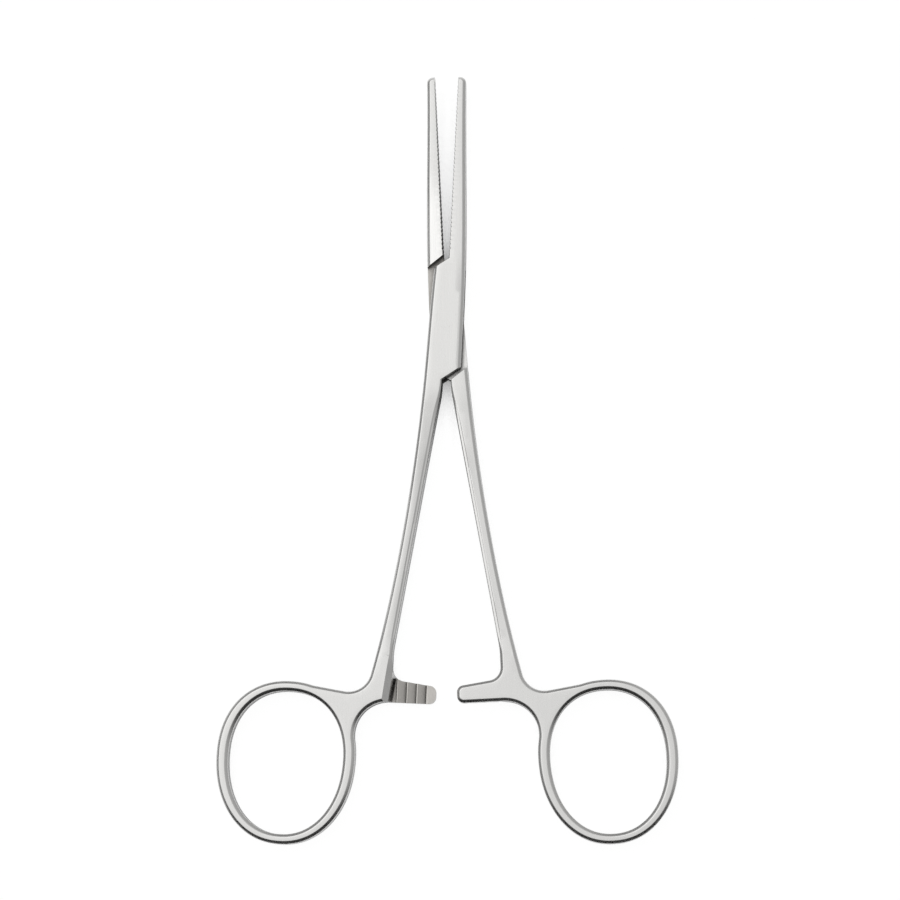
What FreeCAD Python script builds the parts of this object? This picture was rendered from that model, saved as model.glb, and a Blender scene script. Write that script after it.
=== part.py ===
import FreeCAD, Part
import math
import os
from FreeCAD import Vector

# Straight ring-handled forceps with a box lock, lying flat with the jaws a little apart.
# Millimetres. The origin is on the pivot axis, in the plane of the box's underside.
# +Y points to the jaw tips and +Z is up. Each half is drawn as it stands with the jaws
# closed, as a right jaw with a left shank and ring, and is then turned about the pivot.

# Rest pose
rest_opening = 5.4            # degrees between the halves as the forceps lies

# Thickness along Z, the same above and below the middle plane
box_thickness = 4.6
ring_thickness = 3.4
jaw_tip_thickness = 2.4

# Lock
lock_half_width = 3.05        # pivot axis to the side of the box
cheek_top_half_width = 2.6    # the same at the upper end of a cheek
lock_flat_reach = 10.0        # the box is of even thickness this far from the pivot
shoulder_reach = 9.05         # pivot axis to the line of a cheek's shoulder, square to it
shoulder_slope = 35.5         # degrees between a shoulder and the X axis
shoulder_gap = 0.5            # between the shoulders of the two halves, jaws closed
slot_end_gap = 0.25           # between the tongue and the ends of the slot, jaws closed
tongue_thickness = 1.6
tongue_side_gap = 0.05        # between the tongue and each cheek

# Pivot pin, riveted flush into both cheeks
pin_diameter = 2.8
pin_head_diameter = 3.6
pin_head_depth = 0.6
pin_running_gap = 0.05        # radial, between the pin and the bore of the tongue

# Jaws
jaw_reach = 45.65             # pivot axis to the jaw tips
jaw_gap = 0.04                # between the jaw faces when closed
jaw_root_width = 2.98
jaw_root_reach = 9.0
jaw_middle_width = 2.38
jaw_middle_reach = 24.5
jaw_tip_width = 1.46
jaw_tip_radius = 1.1
serration_pitch = 0.8
serration_width = 0.6
serration_depth = 0.22
serration_start = 12.6        # pivot axis to the first groove
serration_tip_margin = 0.9    # plain face left at the tip

# Shanks, their widths measured along X
shank_gap = 0.56              # between the shanks behind the lock, jaws closed
shank_knee_reach = 13.3       # where the inner edge starts to lean outwards
shank_knee_radius = 20.0
shank_root_width = 3.2
shank_root_reach = 11.2
shank_upper_width = 2.4
shank_upper_reach = 29.0
shank_waist_width = 2.19
shank_waist_reach = 44.0
shank_foot_width = 2.78
shank_level_reach = 62.0      # behind this the shank is as thick as the rings

# Finger rings: an egg-shaped oval, leaning a little
ring_reach = 81.0             # pivot axis to the ring centre, back along Y
ring_offset = 24.75           # the same across X
ring_opening_width = 20.4
ring_opening_length = 25.17
ring_wall = 2.08
ring_end_wall = 1.785         # the same at the two ends of the oval
ring_lean = 1.2               # degrees
ring_fullness = 2.15          # 2 is an ellipse, more is squarer
ring_egg = 0.05               # how much wider the end towards the shank is
ring_points = 24

# Foot of the shank and the web between shank, ratchet arm and ring, from the ring centre
foot_rise = 20.7              # to the foot of the shank, along Y
foot_inset = 18.13            # to the inner edge of the foot, along X
foot_knee_radius = 15.0
web_rise = 12.45              # to the outer corner below the shank, along Y
web_inset = 13.5              # the same, along X
web_outer_radius = 4.1
web_ring_radius = 9.0
web_inner_radius = 6.0

# Ratchet arms
arm_rise = 13.5               # ring centre to the middle of the arm, along Y
arm_height = 4.05
arm_overlap = 1.3             # how far an arm passes the middle of the forceps, jaws closed
arm_tip_radius = 1.2
arm_taper = 1.0               # how much lower the arm's upper edge is at its tip
arm_corner_radius = 2.3
arm_crest_gap = 0.1           # along Z, between the tooth crests of the two arms
tooth_pitch = 1.76
tooth_height = 0.5
tooth_count = 4
tooth_land = 1.7              # flat at the arm's tip, before the first crest
tooth_back = 0.14             # run of a tooth's steep face
scoop_slope = 55.0            # degrees between level and the wall ground down to the teeth
scoop_floor = 0.6             # level floor between that wall and the last tooth
scoop_lean = 0.168            # how far the wall leans inwards for each mm up the shank

# Rounding of the long edges
edge_radius = 0.65

middle = box_thickness / 2.0
ring_outer_width = ring_opening_width + 2.0 * ring_wall
ring_outer_length = ring_opening_length + 2.0 * ring_end_wall
foot = Vector(foot_inset - ring_offset, foot_rise - ring_reach, 0.0)
arm_top_y = arm_rise - ring_reach + arm_height / 2.0
arm_low_y = arm_rise - ring_reach - arm_height / 2.0
over = 1.0                    # how far a cutter passes the face that it goes through
far = 2.0 * ring_offset       # wider than the half


def at(x, y, z=0.0):
    return Vector(x, y, z)


def line(a, b):
    return Part.LineSegment(a, b).toShape()


def smooth(points):
    curve = Part.BSplineCurve()
    curve.interpolate(points)
    return curve.toShape()


def upright(edges):
    return Part.Face(Part.Wire(edges)).extrude(Vector(0.0, 0.0, box_thickness))


def ring_curve(width, length):
    lean = math.radians(-ring_lean)
    power = 2.0 / ring_fullness
    points = []
    for step in range(ring_points):
        c = math.cos(2.0 * math.pi * step / ring_points)
        s = math.sin(2.0 * math.pi * step / ring_points)
        y = math.copysign(abs(s) ** power, s)
        x = math.copysign(abs(c) ** power, c) * (1.0 + ring_egg * y) * width / 2.0
        y = y * length / 2.0
        points.append(at(x * math.cos(lean) - y * math.sin(lean) - ring_offset,
                         x * math.sin(lean) + y * math.cos(lean) - ring_reach))
    curve = Part.BSplineCurve()
    curve.interpolate(points, PeriodicFlag=True)
    return curve.toShape()


def shank_outer(width, reach):
    inner = at(-shank_gap / 2.0, -shank_knee_reach)
    lean = (foot.x - inner.x) / (inner.y - foot.y)
    return at(inner.x + lean * max(0.0, inner.y + reach) - width, -reach)


def on_shoulder(x, side):
    # A point of the upper left shoulder of a cheek, side 1, or its lower right one, side -1.
    slope = math.radians(shoulder_slope)
    return at(x, side * shoulder_reach / math.cos(slope) + x * math.tan(slope))


def round_corner(shape, corner, radius):
    uprights = []
    for edge in shape.Edges:
        run = edge.valueAt(edge.LastParameter) - edge.valueAt(edge.FirstParameter)
        if run.Length - abs(run.z) < 0.000001:
            uprights.append(edge)
    spot = Part.Vertex(corner)
    nearest = min(uprights, key=lambda edge: edge.distToShape(spot)[0])
    return shape.makeFillet(radius, [nearest])


def plan_prism():
    # The whole outline of the half, upright, with the ring still filled in.
    face_x = jaw_gap / 2.0
    jaw_tip = at(jaw_tip_width, jaw_reach)
    knee = at(-shank_gap / 2.0, -shank_knee_reach)
    arm_root = at(foot.x, arm_top_y)
    arm_upper_tip = at(arm_overlap, arm_top_y - arm_taper)
    arm_lower_tip = at(arm_overlap, arm_low_y)
    web = at(web_inset - ring_offset, web_rise - ring_reach)
    in_ring_low = at(-ring_offset, arm_low_y)
    in_ring_high = at(-ring_offset, ring_outer_length / 2.0 - ring_reach)
    inner_side = [at(face_x, jaw_reach), jaw_tip]
    right_side = smooth([jaw_tip, at(jaw_middle_width, jaw_middle_reach),
                         at(jaw_root_width, jaw_root_reach), at(lock_half_width, 0.0),
                         on_shoulder(lock_half_width, -1)])
    back = [on_shoulder(lock_half_width, -1), on_shoulder(-shank_gap / 2.0, -1), knee, foot,
            arm_root, arm_upper_tip, arm_lower_tip, in_ring_low, in_ring_high, web]
    left_side = smooth([web, shank_outer(shank_foot_width, -foot.y),
                        shank_outer(shank_waist_width, shank_waist_reach),
                        shank_outer(shank_upper_width, shank_upper_reach),
                        shank_outer(shank_root_width, shank_root_reach),
                        at(-lock_half_width, 0.0), on_shoulder(-cheek_top_half_width, 1)])
    front = [on_shoulder(-cheek_top_half_width, 1), on_shoulder(face_x, 1), at(face_x, jaw_reach)]
    edges = [line(*inner_side), right_side]
    edges += [line(a, b) for a, b in zip(back, back[1:])]
    edges += [left_side]
    edges += [line(a, b) for a, b in zip(front, front[1:])]
    ring = ring_curve(ring_outer_width, ring_outer_length)
    inner_joint = line(arm_lower_tip, in_ring_low).distToShape(ring)[1][0][0]
    outer_joint = line(in_ring_high, web).distToShape(ring)[1][0][0]
    body = upright(edges).fuse(upright([ring])).removeSplitter()
    for corner, radius in ((jaw_tip, jaw_tip_radius), (knee, shank_knee_radius),
                           (foot, foot_knee_radius), (arm_root, arm_corner_radius),
                           (arm_upper_tip, arm_tip_radius), (arm_lower_tip, arm_tip_radius),
                           (web, web_outer_radius), (outer_joint, web_ring_radius),
                           (inner_joint, web_inner_radius)):
        body = round_corner(body, corner, radius)
    return body


def side_prism():
    # The thickness seen from the side: level over the lock and the rings, thinner at the tips.
    top = box_thickness
    level = middle + ring_thickness / 2.0
    jaw_run = jaw_reach - lock_flat_reach
    jaw_drop = (box_thickness - jaw_tip_thickness) / 2.0
    radius = (jaw_run ** 2 + jaw_drop ** 2) / (2.0 * jaw_drop)

    def jaw_top(reach):
        return Vector(0.0, reach, top - radius + math.sqrt(radius ** 2 - (reach - lock_flat_reach) ** 2))

    front = jaw_reach + over
    rear = -ring_reach - ring_outer_length
    shank_run = shank_level_reach - lock_flat_reach
    box_front = Vector(0.0, lock_flat_reach, top)
    box_rear = Vector(0.0, -lock_flat_reach, top)
    shank_end = Vector(0.0, -shank_level_reach, level)
    shank_curve = Part.BezierCurve()
    shank_curve.setPoles([box_rear, box_rear - Vector(0.0, shank_run / 3.0, 0.0),
                          shank_end + Vector(0.0, shank_run / 3.0, 0.0), shank_end])
    upper = [Part.Arc(jaw_top(front), jaw_top((front + lock_flat_reach) / 2.0), box_front).toShape(),
             line(box_front, box_rear), shank_curve.toShape(),
             line(shank_end, Vector(0.0, rear, level))]
    lower = [edge.mirror(Vector(0.0, 0.0, middle), Vector(0.0, 0.0, 1.0)) for edge in upper]
    ends = [line(jaw_top(front), Vector(0.0, front, box_thickness - jaw_top(front).z)),
            line(Vector(0.0, rear, level), Vector(0.0, rear, box_thickness - level))]
    wire = Part.Wire(Part.__sortEdges__(upper + lower + ends))
    wire.translate(Vector(-far, 0.0, 0.0))
    return Part.Face(wire).extrude(Vector(2.0 * far, 0.0, 0.0))


def rims(shape):
    # The edges between an upright wall and the top or the underside.
    found = []
    for edge in shape.Edges:
        spot = edge.valueAt((edge.FirstParameter + edge.LastParameter) / 2.0)
        tilts = []
        for face in shape.ancestorsOfType(edge, Part.Face):
            tilts.append(abs(face.normalAt(*face.Surface.parameter(spot)).z))
        if len(tilts) == 2 and min(tilts) < 0.01 and max(tilts) > 0.9:
            found.append(edge)
    return found


def stays_sharp(edge):
    # The rims of the jaw face and of the shoulders aren't rounded like the rest.
    slope = math.radians(shoulder_slope)
    spot = edge.valueAt((edge.FirstParameter + edge.LastParameter) / 2.0)
    square = abs(spot.y * math.cos(slope) - spot.x * math.sin(slope))
    return min(abs(spot.x - jaw_gap / 2.0), abs(square - shoulder_reach)) < 0.001


def blank():
    body = plan_prism().common(side_prism())
    body = body.cut(upright([ring_curve(ring_opening_width, ring_opening_length)]))
    return body.makeFillet(edge_radius, [edge for edge in rims(body) if not stays_sharp(edge)])


def serrations():
    count = int((jaw_reach - serration_tip_margin - serration_start) / serration_pitch)
    grooves = []
    for number in range(count):
        start = serration_start + number * serration_pitch
        corners = [at(0.0, start), at(jaw_gap / 2.0 + serration_depth, start + serration_width / 2.0),
                   at(0.0, start + serration_width)]
        grooves.append(upright([line(a, b) for a, b in zip(corners, corners[1:] + corners[:1])]))
    return grooves


def ratchet():
    # What is ground away above the teeth of the lower arm, and the scoop beside them, whose
    # sloping wall leans until it leaves the shank's inner edge.
    crest = middle - arm_crest_gap / 2.0
    valley = crest - tooth_height
    top = box_thickness + over
    start_y = arm_low_y - over
    length = foot.y - start_y
    first = arm_overlap - tooth_land
    profile = [at(arm_overlap + over, start_y, top), at(arm_overlap + over, start_y, crest)]
    for number in range(tooth_count):
        x = first - number * tooth_pitch
        profile += [at(x, start_y, crest), at(x - tooth_back, start_y, valley)]
    last_x = profile[-1].x
    profile.append(at(last_x, start_y, top))
    edges = [line(a, b) for a, b in zip(profile, profile[1:] + profile[:1])]
    teeth = Part.Face(Part.Wire(edges)).extrude(Vector(0.0, length, 0.0))
    way = Vector(scoop_lean, 1.0, 0.0)
    arm_y = (arm_top_y + arm_low_y) / 2.0
    wall_foot = at(last_x - scoop_floor, arm_y, valley) + way * (start_y - over - arm_y)
    height = Vector(0.0, 0.0, top - valley)
    wall_run = Vector(height.z / math.tan(math.radians(scoop_slope)), 0.0, 0.0)
    inward = Vector(far, 0.0, 0.0)
    section = [wall_foot, wall_foot + inward, wall_foot + inward + height, wall_foot + height - wall_run]
    edges = [line(a, b) for a, b in zip(section, section[1:] + section[:1])]
    scoop = Part.Face(Part.Wire(edges)).extrude(way * (length + over))
    left_of_teeth = Part.makeBox(2.0 * far, 2.0 * length, far, at(last_x - 2.0 * far, start_y - length, 0.0))
    return teeth, scoop.common(left_of_teeth)


def lock_band(reach, bottom, top):
    # What lies between two lines across the lock, parallel to the shoulders of the other half.
    band = Part.makeBox(2.0 * far, 2.0 * reach, top - bottom, at(-far, -reach, bottom))
    band.rotate(at(0.0, 0.0), Vector(0.0, 0.0, 1.0), -shoulder_slope)
    return band


def pivot_pin():
    pin = Part.makeCylinder(pin_diameter / 2.0, box_thickness)
    for end, direction in ((0.0, 1.0), (box_thickness, -1.0)):
        head = Part.makeCone(pin_head_diameter / 2.0, pin_diameter / 2.0, pin_head_depth,
                             at(0.0, 0.0, end), Vector(0.0, 0.0, direction))
        pin = pin.fuse(head)
    return pin.removeSplitter()


def box_half(half):
    slot = tongue_thickness / 2.0 + tongue_side_gap
    half = half.cut(lock_band(shoulder_reach + slot_end_gap, middle - slot, middle + slot))
    half = half.cut(pivot_pin())
    half = half.cut(list(ratchet()))
    half.rotate(at(0.0, 0.0), Vector(0.0, 0.0, 1.0), -rest_opening / 2.0)
    return half


def tongue_half(half):
    reach = shoulder_reach + shoulder_gap
    tongue = tongue_thickness / 2.0
    half = half.cut([lock_band(reach, -over, middle - tongue),
                     lock_band(reach, middle + tongue, box_thickness + over)])
    half = half.cut(Part.makeCylinder(pin_diameter / 2.0 + pin_running_gap, box_thickness))
    half = half.cut([tool.mirror(at(0.0, 0.0, middle), Vector(0.0, 0.0, 1.0)) for tool in ratchet()])
    half = half.mirror(at(0.0, 0.0), Vector(1.0, 0.0, 0.0))
    half.rotate(at(0.0, 0.0), Vector(0.0, 0.0, 1.0), rest_opening / 2.0)
    return half


half = blank().cut(serrations())
parts = {"box_half": box_half(half), "tongue_half": tongue_half(half), "pivot_pin": pivot_pin()}
os.makedirs("parts", exist_ok=True)
for name, shape in parts.items():
    shape.exportStep("parts/" + name + ".step")
    print(name, len(shape.Solids), round(shape.Volume, 3), shape.isValid())
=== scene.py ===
import math
from types import SimpleNamespace

import bpy
import numpy as np
from bpy.props import FloatProperty, FloatVectorProperty, IntProperty, PointerProperty
from bpy.types import Operator, Panel, PropertyGroup
from mathutils import Matrix, Vector
from mathutils.geometry import delaunay_2d_cdt


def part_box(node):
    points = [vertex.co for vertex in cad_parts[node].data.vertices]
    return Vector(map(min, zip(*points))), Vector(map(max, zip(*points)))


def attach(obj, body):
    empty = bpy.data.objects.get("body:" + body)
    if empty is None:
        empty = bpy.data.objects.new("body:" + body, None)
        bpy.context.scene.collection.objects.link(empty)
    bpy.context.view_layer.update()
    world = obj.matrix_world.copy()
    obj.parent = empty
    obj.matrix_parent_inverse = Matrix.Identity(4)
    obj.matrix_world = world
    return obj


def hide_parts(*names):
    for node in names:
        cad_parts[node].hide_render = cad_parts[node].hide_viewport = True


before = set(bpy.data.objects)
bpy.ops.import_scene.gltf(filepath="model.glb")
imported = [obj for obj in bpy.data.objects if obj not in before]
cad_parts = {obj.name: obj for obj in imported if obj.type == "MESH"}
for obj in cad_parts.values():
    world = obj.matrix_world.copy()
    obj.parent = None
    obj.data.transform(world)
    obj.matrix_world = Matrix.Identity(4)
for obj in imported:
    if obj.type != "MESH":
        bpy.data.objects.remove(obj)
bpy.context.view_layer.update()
PIN_LOW, PIN_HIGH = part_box("pivot_pin")

bl_info = {
    "name": "Ring-handled forceps",
    "version": (1, 0, 0),
    "blender": (4, 5, 0),
    "location": "View3D > Sidebar > Forceps",
    "description": "Builds satin steel forceps with a box lock around their packed frame",
    "category": "Add Mesh",
}


# Sizes and looks that a user would change

def length(name, description, millimetres):
    return FloatProperty(name=name, description=description, default=millimetres / 1000.0,
                         unit="LENGTH", precision=5)


def angle(name, description, degrees):
    return FloatProperty(name=name, description=description, default=math.radians(degrees),
                         subtype="ANGLE", unit="ROTATION")


def share(name, description, value):
    return FloatProperty(name=name, description=description, default=value, min=0.0, max=1.0,
                         subtype="FACTOR")


def colour(name, description, value):
    return FloatVectorProperty(name=name, description=description, default=value, size=3,
                               min=0.0, max=4.0, subtype="COLOR")


class ForcepsLockSizes(PropertyGroup):
    """The box lock and the way the halves lie."""
    rest_opening: angle("Rest opening", "Angle between the halves as the forceps lies", 5.4)
    thickness: length("Thickness", "Thickness of the box", 1000.0 * (PIN_HIGH.z - PIN_LOW.z))
    half_width: length("Half width", "Pivot axis to the side of the box", 3.05)
    top_half_width: length("Top half width", "The same at the upper end of a cheek", 2.6)
    flat_reach: length("Flat reach", "How far from the pivot the box keeps its thickness", 10.0)
    shoulder_reach: length("Shoulder reach", "Pivot axis to a cheek's shoulder, square to it", 9.05)
    shoulder_slope: angle("Shoulder slope", "Between a shoulder and the X axis", 35.5)
    shoulder_gap: length("Shoulder gap", "Between the shoulders of the halves, jaws closed", 0.5)
    slot_end_gap: length("Slot end gap", "Between the tongue and the slot's ends, jaws closed", 0.25)
    tongue_thickness: length("Tongue thickness", "Thickness of the tongue", 1.6)
    tongue_side_gap: length("Tongue side gap", "Between the tongue and each cheek", 0.05)
    pin_diameter: length("Pin diameter", "Shank of the rivet", 2.8)
    pin_head_diameter: length("Pin head diameter", "Widest part of the rivet's heads", 3.6)
    pin_head_depth: length("Pin head depth", "Depth of each countersunk head", 0.6)
    pin_running_gap: length("Pin running gap", "Around the pin in the tongue", 0.05)


class ForcepsJawSizes(PropertyGroup):
    """The jaws and their serrations."""
    reach: length("Reach", "Pivot axis to the jaw tips", 45.65)
    gap: length("Gap", "Between the jaw faces when closed", 0.04)
    tip_thickness: length("Tip thickness", "Thickness of the jaw tips", 2.4)
    root_width: length("Root width", "Width of a jaw at its root", 2.98)
    root_reach: length("Root reach", "Where that width is", 9.0)
    middle_width: length("Middle width", "Width of a jaw at its middle", 2.38)
    middle_reach: length("Middle reach", "Where that width is", 24.5)
    tip_width: length("Tip width", "Width of a jaw at its tip", 1.46)
    tip_radius: length("Tip radius", "Outer corner of a jaw tip", 1.1)
    groove_pitch: length("Groove pitch", "From one serration to the next", 0.8)
    groove_width: length("Groove width", "Width of a serration", 0.6)
    groove_depth: length("Groove depth", "Depth of a serration", 0.22)
    groove_start: length("Groove start", "Pivot axis to the first serration", 12.6)
    groove_tip_margin: length("Groove tip margin", "Plain face left at the tip", 0.9)


class ForcepsShankSizes(PropertyGroup):
    """The shanks, their widths measured along X."""
    gap: length("Gap", "Between the shanks behind the lock, jaws closed", 0.56)
    knee_reach: length("Knee reach", "Where the inner edge starts to lean outwards", 13.3)
    knee_radius: length("Knee radius", "Bend of the inner edge there", 20.0)
    root_width: length("Root width", "Width just behind the lock", 3.2)
    root_reach: length("Root reach", "Where that width is", 11.2)
    upper_width: length("Upper width", "Width of the upper shank", 2.4)
    upper_reach: length("Upper reach", "Where that width is", 29.0)
    waist_width: length("Waist width", "Width at the slimmest part", 2.19)
    waist_reach: length("Waist reach", "Where that width is", 44.0)
    foot_width: length("Foot width", "Width at the foot", 2.78)
    level_reach: length("Level reach", "Behind this the shank is as thick as the rings", 62.0)
    land_start: length("Land start", "Where the ground land on the inner edge begins", 14.5)
    land_full: length("Land full", "Where the land has its full width", 21.0)


class ForcepsRingSizes(PropertyGroup):
    """The finger rings and the web that carries them."""
    thickness: length("Thickness", "Thickness of the rings", 3.4)
    reach: length("Reach", "Pivot axis to the ring centre, back along Y", 81.0)
    offset: length("Offset", "Pivot axis to the ring centre across X", 24.75)
    opening_width: length("Opening width", "Opening of a ring across", 20.4)
    opening_length: length("Opening length", "Opening of a ring along", 25.17)
    wall: length("Wall", "Wall of a ring", 2.07)
    end_wall: length("End wall", "The same at the two ends of the oval", 1.78)
    lean: angle("Lean", "How far a ring leans", 1.2)
    fullness: FloatProperty(name="Fullness", description="2 is an ellipse, more is squarer",
                            default=2.15)
    egg: share("Egg", "How much wider the end towards the shank is", 0.05)
    foot_rise: length("Foot rise", "Ring centre to the foot of the shank, along Y", 20.7)
    foot_inset: length("Foot inset", "Ring centre to the inner edge of the foot, along X", 18.13)
    foot_knee_radius: length("Foot knee radius", "Bend of the inner edge at the foot", 15.0)
    web_rise: length("Web rise", "Ring centre to the corner below the shank, along Y", 12.45)
    web_inset: length("Web inset", "Ring centre to that corner, along X", 13.5)
    web_outer_radius: length("Web outer radius", "Radius of that corner", 4.1)
    web_ring_radius: length("Web ring radius", "Radius between web and ring", 9.0)
    web_inner_radius: length("Web inner radius", "Radius between ratchet arm and ring", 6.0)


class ForcepsRatchetSizes(PropertyGroup):
    """The ratchet arms, their teeth and the scoop beside them."""
    arm_rise: length("Arm rise", "Ring centre to the middle of the arm, along Y", 13.5)
    arm_height: length("Arm height", "Height of the arm at its root", 4.05)
    arm_overlap: length("Arm overlap", "How far an arm passes the middle, jaws closed", 1.3)
    arm_tip_radius: length("Arm tip radius", "Corners of the arm's tip", 1.2)
    arm_taper: length("Arm taper", "How much lower the upper edge is at the tip", 1.0)
    arm_corner_radius: length("Arm corner radius", "Between the shank and the arm", 2.3)
    crest_gap: length("Crest gap", "Between the tooth crests of the two arms, along Z", 0.1)
    tooth_pitch: length("Tooth pitch", "From one tooth to the next", 1.76)
    tooth_height: length("Tooth height", "Height of a tooth", 0.5)
    tooth_land: length("Tooth land", "Flat at the arm's tip", 1.7)
    tooth_back: length("Tooth back", "Run of a tooth's steep face", 0.14)
    tooth_count: IntProperty(name="Tooth count", description="Teeth on an arm", default=4, min=1)
    scoop_slope: angle("Scoop slope", "Slope of the wall ground down to the teeth", 51.7)
    scoop_width: length("Scoop width", "Width of that wall at the arm", 1.8)
    scoop_lean: share("Scoop lean", "How far it leans inwards for each unit up the shank", 0.115)
    scoop_end: length("Scoop end", "Pivot axis to where the wall has run out", 56.0)
    crest_break: length("Crest break", "Broken edge along each tooth's crest", 0.15)


class ForcepsFinish(PropertyGroup):
    """Edges and steel."""
    edge_radius: length("Edge radius", "Rounding of the long edges", 0.65)
    bevel: length("Bevel", "Width of the bevel on a cheek's right edge", 0.52)
    face_edge: length("Face edge", "Break of the jaw faces' edges", 0.13)
    crisp_edge: length("Crisp edge", "Break of the shoulders' edges", 0.1)
    steel: colour("Steel", "Colour of the satin steel", (0.76, 0.757, 0.75))
    milled_steel: colour("Milled steel", "Colour of the teeth and the lock's recesses",
                         (0.60, 0.58, 0.555))
    roughness: share("Roughness", "Roughness of the satin steel", 0.25)
    milled_roughness: share("Milled roughness", "Roughness of the milled steel", 0.36)


class ForcepsStudio(PropertyGroup):
    """Floor, light and camera."""
    camera_distance: length("Camera distance", "Camera to the middle of the picture", 480.0)
    view_width: length("View width", "Width that the picture shows there", 162.0)
    view_x: length("View X", "Middle of the picture across", 0.585)
    view_y: length("View Y", "Middle of the picture along", -23.87)
    tilt_south: angle("Tilt south", "Camera's lean towards the rings", 9.5)
    tilt_east: angle("Tilt east", "Camera's lean to the right", 3.3)
    floor_colour: colour("Floor", "Colour of the floor", (0.92, 0.92, 0.92))


# Outline of a half

# Lengths here are in millimetres.
CURVE_STEP = 0.3              # between points of an outline
FACE_STEP = 0.8               # between points in the middle of a flat face
CUT_PAST = 1.0                # how far a cutter reaches past the faces that it cuts
BAND_REACH = 60.0             # half the length of a cutter across the lock
OVAL_POINTS = 480             # of a finger ring, before they are spaced evenly
TURNED_STEPS = 96             # around the rivet's seat and bore
SCOOP_SECTIONS = 40           # along the wall that runs out up the shank
SHARP_ANGLE = 25.0            # in degrees: steeper edges than this aren't shaded smooth


def millimetres(group):
    """The group's values, with its lengths in millimetres."""
    values = {}
    for key, made in group.bl_rna.properties.items():
        if made.type in {"FLOAT", "INT"}:
            value = getattr(group, key)
            values[key] = value * 1000.0 if made.unit == "LENGTH" else value
    return SimpleNamespace(**values)


def straight(start, end):
    """Points along a line."""
    start, end = np.array(start, float), np.array(end, float)
    count = max(2, int(np.linalg.norm(end - start) / CURVE_STEP) + 1)
    return start + np.linspace(0.0, 1.0, count)[:, None] * (end - start)


def smooth(corners):
    """Points along a smooth curve through the corners."""
    corners = np.array(corners, float)
    steps = np.linalg.norm(np.diff(corners, axis=0), axis=1)
    place = np.concatenate([[0.0], np.cumsum(steps)])
    last = len(corners) - 1
    matrix = np.zeros((last + 1, last + 1))
    right = np.zeros_like(corners)
    matrix[0, 0] = matrix[last, last] = 1.0
    for axis in range(2):
        first_fit = np.polyder(np.polyfit(place[:4], corners[:4, axis], 3))
        last_fit = np.polyder(np.polyfit(place[-4:], corners[-4:, axis], 3))
        right[0, axis] = np.polyval(first_fit, place[0])
        right[last, axis] = np.polyval(last_fit, place[-1])
    for i in range(1, last):
        before, after = steps[i - 1], steps[i]
        matrix[i, i - 1] = 1.0 / before
        matrix[i, i] = 2.0 / before + 2.0 / after
        matrix[i, i + 1] = 1.0 / after
        right[i] = 3.0 * ((corners[i] - corners[i - 1]) / before ** 2
                          + (corners[i + 1] - corners[i]) / after ** 2)
    slopes = np.linalg.solve(matrix, right)
    points = []
    for i in range(last):
        count = max(2, int(steps[i] / CURVE_STEP))
        t = (np.arange(count) / count)[:, None]
        points.append((2 * t ** 3 - 3 * t ** 2 + 1) * corners[i]
                      + (t ** 3 - 2 * t ** 2 + t) * steps[i] * slopes[i]
                      + (3 * t ** 2 - 2 * t ** 3) * corners[i + 1]
                      + (t ** 3 - t ** 2) * steps[i] * slopes[i + 1])
    return np.vstack(points + [corners[-1:]])


def directions(points, closed=False):
    """Unit vectors along a row of points."""
    if closed:
        run = np.roll(points, -1, axis=0) - np.roll(points, 1, axis=0)
    else:
        run = np.gradient(points, axis=0)
    return run / np.linalg.norm(run, axis=1)[:, None]


def to_the_right(vectors):
    """The vectors turned a quarter clockwise."""
    return np.stack([vectors[..., 1], -vectors[..., 0]], axis=-1)


def crossings(first, second):
    """Where two rows of points cross: the places, and how far along each row."""
    p, r = first[:-1, None], np.diff(first, axis=0)[:, None]
    q, s = second[None, :-1], np.diff(second, axis=0)[None]
    turn = r[..., 0] * s[..., 1] - r[..., 1] * s[..., 0]
    turn = np.where(np.abs(turn) < 1e-12, 1e-12, turn)
    gap = q - p
    t = (gap[..., 0] * s[..., 1] - gap[..., 1] * s[..., 0]) / turn
    u = (gap[..., 0] * r[..., 1] - gap[..., 1] * r[..., 0]) / turn
    found = np.argwhere((t >= 0.0) & (t <= 1.0) & (u >= 0.0) & (u <= 1.0))
    return [(first[i] + t[i, j] * (first[i + 1] - first[i]), i + t[i, j], j + u[i, j])
            for i, j in found]


def nearest_along(points, spot):
    """How far along a row of points the nearest place to the spot is, and that place."""
    start, run = points[:-1], np.diff(points, axis=0)
    t = np.einsum("ij,ij->i", spot - start, run) / np.einsum("ij,ij->i", run, run)
    t = np.clip(t, 0.0, 1.0)
    feet = start + t[:, None] * run
    best = int(np.argmin(np.linalg.norm(feet - spot, axis=1)))
    return best + t[best], feet[best]


def round_off(before, after, radius):
    """Rounds the corner between two rows of points, and returns both cut back, and the arc."""
    a, b = directions(before), directions(after)
    turn = a[-1][0] * b[0][1] - a[-1][1] * b[0][0]
    side = -1.0 if turn > 0.0 else 1.0
    shifted_a = before + side * radius * to_the_right(a)
    shifted_b = after + side * radius * to_the_right(b)
    corner = before[-1]
    centre = min((c[0] for c in crossings(shifted_a, shifted_b)),
                 key=lambda c: np.linalg.norm(c - corner))
    place_a, foot_a = nearest_along(before, centre)
    place_b, foot_b = nearest_along(after, centre)
    from_angle = math.atan2(*(foot_a - centre)[::-1])
    to_angle = math.atan2(*(foot_b - centre)[::-1])
    sweep = (to_angle - from_angle + math.pi) % (2.0 * math.pi) - math.pi
    count = max(6, int(abs(sweep) * radius / CURVE_STEP), int(abs(sweep) / math.radians(6.0)))
    angles = from_angle + np.linspace(0.0, 1.0, count + 1) * sweep
    arc = centre + radius * np.stack([np.cos(angles), np.sin(angles)], axis=1)
    kept_a = before[:int(place_a) + 1]
    kept_b = after[int(place_b) + 1:]
    return kept_a, arc, kept_b


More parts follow.
